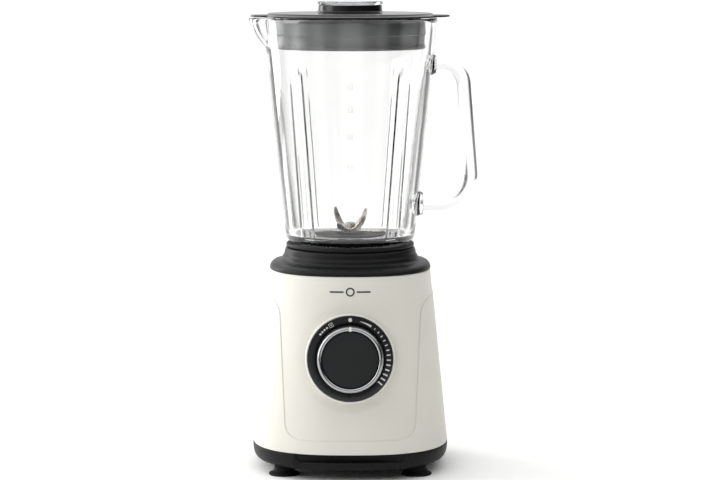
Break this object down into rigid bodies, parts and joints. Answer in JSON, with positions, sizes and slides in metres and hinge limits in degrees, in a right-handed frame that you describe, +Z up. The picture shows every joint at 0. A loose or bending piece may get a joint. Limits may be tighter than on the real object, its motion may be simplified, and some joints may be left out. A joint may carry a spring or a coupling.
{
  "type": "countertop blender",
  "caption": "Countertop blender with a tapered glass jug, rod handle and pouring lip, on a square-shouldered ivory base with a front control dial and suction feet.",
  "frame": {"origin": "middle of the bounding box's footprint, on the surface that the feet stand on", "axes": "+Z up; the control dial faces -Y; the handle is on +X and the pouring lip on -X. The motor, blade and jug axis is vertical at x = -0.0122 m, y = +0.0060 m, because the handle and the dial stick out on one side each"},
  "size_m": [0.204, 0.2, 0.415],
  "materials": {
    "ivory_plastic": "satin, fine grain on the sides and back",
    "black_plastic": "satin",
    "charcoal_plastic": "matte",
    "rubber": "matte",
    "grey_silicone": "satin",
    "glass": "clear, polished",
    "clear_plastic": "clear, polished",
    "satin_chrome": "satin",
    "blade_steel": "brushed",
    "steel": "machined",
    "lamination_steel": "stacked sheet",
    "copper": "enamelled wire",
    "bronze": "sintered",
    "carbon": "matte",
    "circuit_board": "matte"
  },
  "bodies": {
    "base": {"housing_shell": "ivory_plastic", "top_collar": "black_plastic", "base_pan": "charcoal_plastic", "suction_foot_front_left": "rubber", "suction_foot_rear_left": "rubber", "suction_foot_front_right": "rubber", "suction_foot_rear_right": "rubber", "pan_screw_front_left": "steel", "pan_screw_rear_left": "steel", "pan_screw_front_right": "steel", "pan_screw_rear_right": "steel", "cord_gland": "rubber", "scale_ring": "black_plastic", "rotary_switch": "charcoal_plastic", "control_board": "circuit_board", "motor_stator": "lamination_steel", "field_coil_left": "copper", "field_coil_right": "copper", "upper_motor_bracket": "steel", "lower_motor_bracket": "steel", "upper_bearing": "steel", "lower_bearing": "steel", "brush_holder_left": "bronze", "brush_holder_right": "bronze", "carbon_brush_left": "carbon", "carbon_brush_right": "carbon", "motor_mount_front_left": "rubber", "motor_mount_rear_left": "rubber", "motor_mount_front_right": "rubber", "motor_mount_rear_right": "rubber", "air_duct": "charcoal_plastic", "interlock_switch": "charcoal_plastic"},
    "motor_rotor": {"motor_shaft": "steel", "armature": "lamination_steel", "commutator": "copper", "cooling_fan": "charcoal_plastic", "drive_coupling": "rubber"},
    "knob": {"knob_body": "black_plastic", "knob_trim_ring": "satin_chrome", "knob_face": "black_plastic", "switch_spindle": "steel"},
    "interlock_plunger": {"interlock_pin": "black_plastic", "interlock_spring": "steel"},
    "jug": {"jug_glass": "glass", "jug_handle": "glass", "blade_base": "charcoal_plastic", "blade_gasket": "grey_silicone", "upper_bushing": "bronze", "lower_bushing": "bronze"},
    "lock_ring": {"lock_ring": "black_plastic"},
    "blades": {"blade_shaft": "steel", "blade_upper": "blade_steel", "blade_middle": "blade_steel", "blade_lower": "blade_steel", "blade_washer": "steel", "blade_nut": "steel", "driven_coupling": "rubber"},
    "lid": {"lid": "black_plastic", "lid_seal": "grey_silicone"},
    "measuring_cap": {"measuring_cap": "clear_plastic"}
  },
  "joints": [
    {"name": "motor_spin", "type": "hinge", "parent": "base", "child": "motor_rotor", "pos_m": [-0.0122, 0.00598, 0.115], "axis": [0, 0, 1], "continuous": true},
    {"name": "knob_turn", "type": "hinge", "parent": "base", "child": "knob", "pos_m": [-0.0122, -0.0754, 0.1075], "axis": [0, 0.9948, -0.1018], "range_deg": [-30, 130]},
    {"name": "interlock_press", "type": "slide", "parent": "base", "child": "interlock_plunger", "axis": [0, 0, 1], "range_m": [-0.003, 0], "stiffness_N_per_m": 300, "springref_m": 0.001, "deforming": ["interlock_spring"]},
    {"name": "jug_lift", "type": "slide", "parent": "base", "child": "jug", "axis": [0, 0, 1], "range_m": [0, 0.06]},
    {"name": "lock_ring_turn", "type": "hinge", "parent": "jug", "child": "lock_ring", "pos_m": [-0.0122, 0.00598, 0.19], "axis": [0, 0, 1], "range_deg": [0, 45]},
    {"name": "blade_spin", "type": "hinge", "parent": "jug", "child": "blades", "pos_m": [-0.0122, 0.00598, 0.205], "axis": [0, 0, 1], "continuous": true},
    {"name": "lid_lift", "type": "slide", "parent": "jug", "child": "lid", "axis": [0, 0, 1], "range_m": [0, 0.08]},
    {"name": "cap_lift", "type": "slide", "parent": "lid", "child": "measuring_cap", "axis": [0, 0, 1], "range_m": [0, 0.05]}
  ],
  "couplings": [
    {"joint": "blade_spin", "follows": "motor_spin", "ratio": 1}
  ]
}
